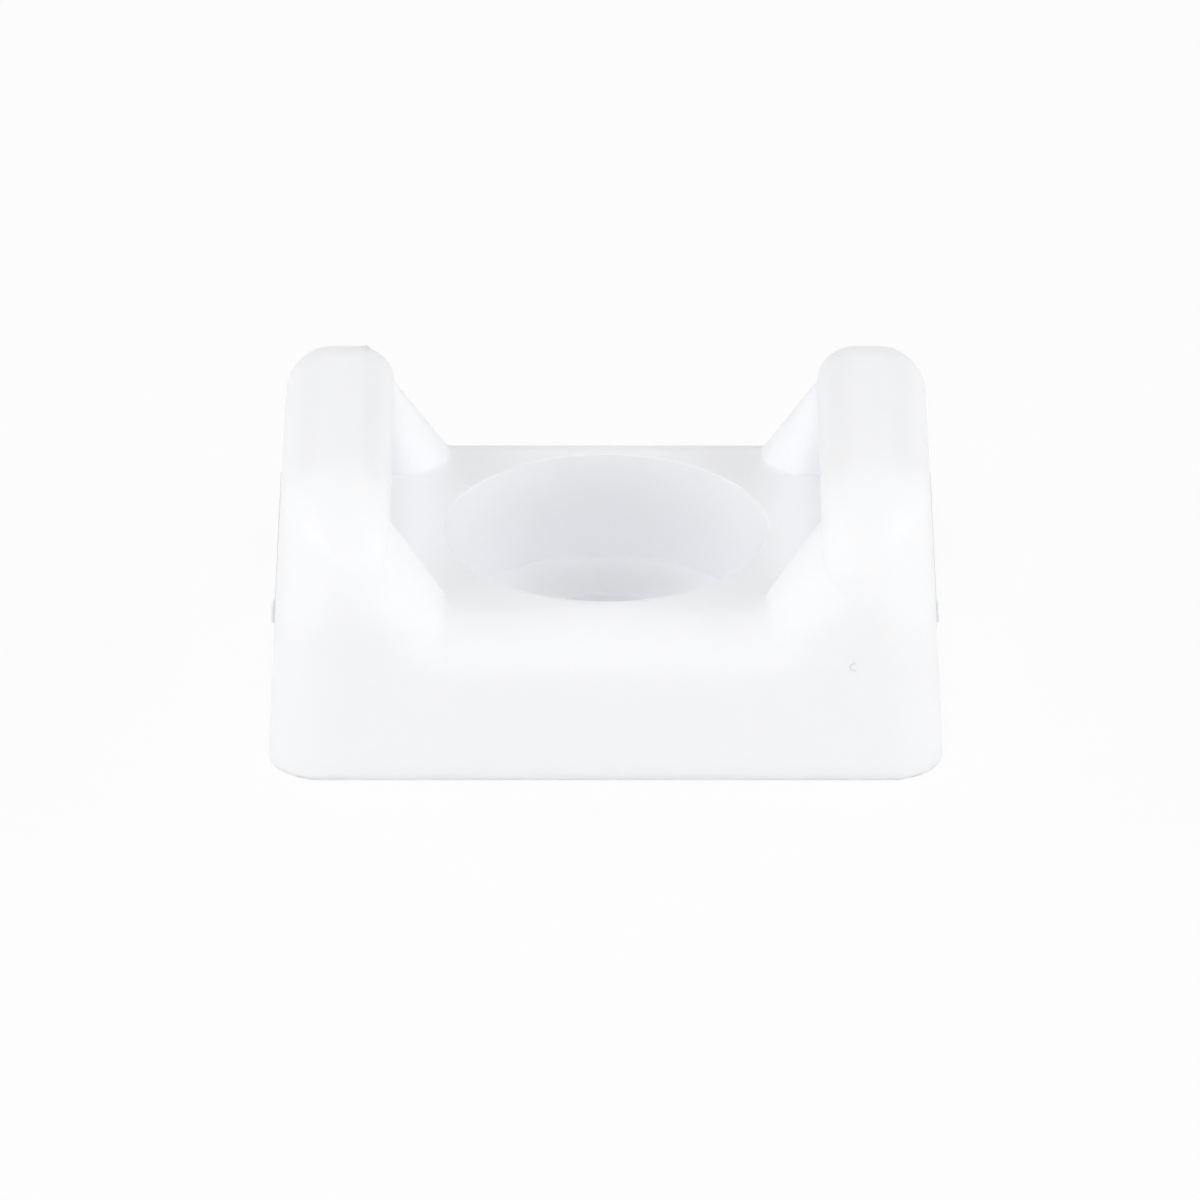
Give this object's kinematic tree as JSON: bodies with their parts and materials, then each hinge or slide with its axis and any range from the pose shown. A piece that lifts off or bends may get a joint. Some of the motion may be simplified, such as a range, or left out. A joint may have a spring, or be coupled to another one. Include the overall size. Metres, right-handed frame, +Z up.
{
  "type": "cable tie mount",
  "caption": "Saddle-shaped cable tie mount: a block foot with arched ears, tie slots under their bars, and a deep screw-head recess in the cradle floor.",
  "frame": {"origin": "middle of the flat underside, on the axis of the screw hole", "axes": "+Z up out of the screw hole, X across the two ears and along the tie, Y along the bundle"},
  "size_m": [0.0222, 0.0149, 0.01],
  "materials": {
    "nylon": "satin natural nylon"
  },
  "bodies": {
    "root": {"mount_body": "nylon"}
  },
  "joints": []
}
